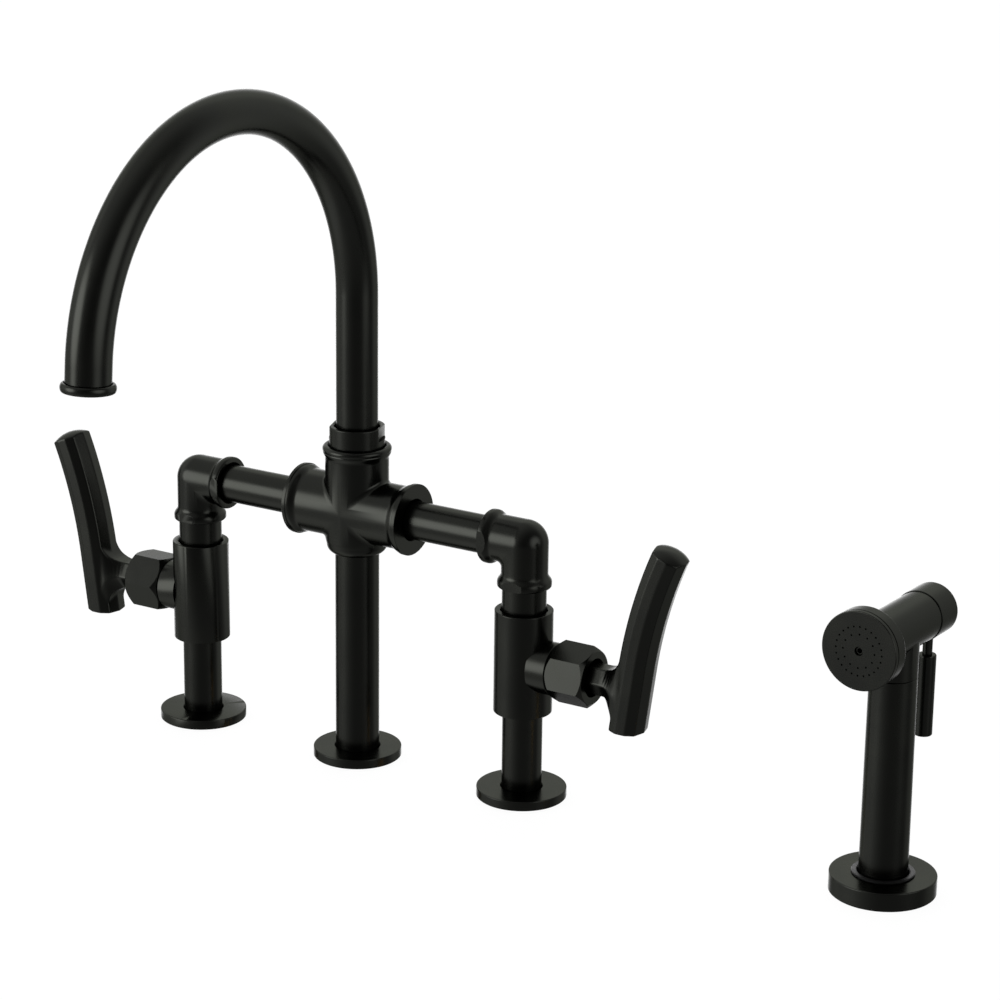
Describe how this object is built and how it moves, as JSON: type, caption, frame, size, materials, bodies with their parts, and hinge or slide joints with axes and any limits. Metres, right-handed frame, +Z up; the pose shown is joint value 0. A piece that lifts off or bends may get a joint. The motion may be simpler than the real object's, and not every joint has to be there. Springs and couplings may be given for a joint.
{
  "type": "bridge kitchen faucet",
  "caption": "Satin black bridge kitchen faucet with upright lever handles, a tall arched swivel spout and a separate side sprayer with a squeeze trigger.",
  "frame": {"origin": "where the axis of the centre post meets the top of the worktop", "axes": "+X along the bridge towards the sprayer, -Y to the front where the spout reaches, +Z up"},
  "size_m": [0.5292, 0.2613, 0.4222],
  "materials": {
    "black_metal": "satin black",
    "brass": "plain turned",
    "steel": "plain",
    "rubber": "matte",
    "plastic": "matte black"
  },
  "bodies": {
    "faucet_body": {"right_flange": "black_metal", "right_gasket": "rubber", "right_shank": "brass", "right_washer": "steel", "right_lock_nut": "brass", "right_leg_tube": "black_metal", "right_valve_body": "black_metal", "right_riser": "black_metal", "right_elbow": "black_metal", "right_bridge_tube": "black_metal", "right_cartridge": "brass", "right_bonnet_nut": "black_metal", "left_flange": "black_metal", "left_gasket": "rubber", "left_shank": "brass", "left_washer": "steel", "left_lock_nut": "brass", "left_leg_tube": "black_metal", "left_valve_body": "black_metal", "left_riser": "black_metal", "left_elbow": "black_metal", "left_bridge_tube": "black_metal", "left_cartridge": "brass", "left_bonnet_nut": "black_metal", "centre_flange": "black_metal", "centre_gasket": "rubber", "centre_shank": "brass", "centre_washer": "steel", "centre_lock_nut": "brass", "centre_post": "black_metal", "cross_body": "black_metal", "diverter_valve": "brass", "spout_nut": "black_metal", "spout_seal": "rubber", "spray_flange": "black_metal", "spray_gasket": "rubber", "spray_holder": "brass", "spray_guide": "plastic", "spray_washer": "steel", "spray_lock_nut": "brass"},
    "spout": {"spout_retainer": "brass", "spout_tube": "black_metal", "spout_lip": "black_metal", "aerator": "plastic"},
    "left_handle": {"left_stem": "brass", "left_lever": "black_metal", "left_grub_screw": "steel"},
    "right_handle": {"right_stem": "brass", "right_lever": "black_metal", "right_grub_screw": "steel"},
    "sprayer_lift": {"hose_coupling": "brass"},
    "sprayer": {"spray_handle": "black_metal", "spray_head": "black_metal", "spray_rim": "black_metal", "spray_face": "black_metal", "spray_face_screw": "black_metal", "spray_rear_cap": "black_metal", "trigger_pin": "steel"},
    "trigger": {"trigger_lever": "black_metal"},
    "plunger": {"spray_plunger": "brass"}
  },
  "joints": [
    {"name": "spout_swivel", "type": "hinge", "parent": "faucet_body", "child": "spout", "pos_m": [0, 0, 0.15], "axis": [0, 0, 1], "continuous": true},
    {"name": "left_handle_turn", "type": "hinge", "parent": "faucet_body", "child": "left_handle", "pos_m": [-0.1416, 0, 0.072], "axis": [1, 0, 0], "range_deg": [0, 90]},
    {"name": "right_handle_turn", "type": "hinge", "parent": "faucet_body", "child": "right_handle", "pos_m": [0.1416, 0, 0.072], "axis": [1, 0, 0], "range_deg": [0, 90]},
    {"name": "sprayer_lift_out", "type": "slide", "parent": "faucet_body", "child": "sprayer_lift", "axis": [0, 0, 1], "range_m": [0, 0.06]},
    {"name": "sprayer_turn", "type": "hinge", "parent": "sprayer_lift", "child": "sprayer", "pos_m": [0.3075, -0.0057, 0], "axis": [0, 0, 1], "continuous": true},
    {"name": "trigger_squeeze", "type": "hinge", "parent": "sprayer", "child": "trigger", "pos_m": [0.30896, 0.02907, 0.1369], "axis": [-0.9991, 0.0419, 0], "range_deg": [0, 14], "stiffness_Nm_per_rad": 0.5, "springref_deg": -11.46},
    {"name": "plunger_push", "type": "slide", "parent": "sprayer", "child": "plunger", "axis": [-0.0419, -0.9991, 0], "range_m": [0, 0.0014]}
  ],
  "couplings": [
    {"joint": "plunger_push", "follows": "trigger_squeeze", "m_per_rad": 0.0055}
  ]
}
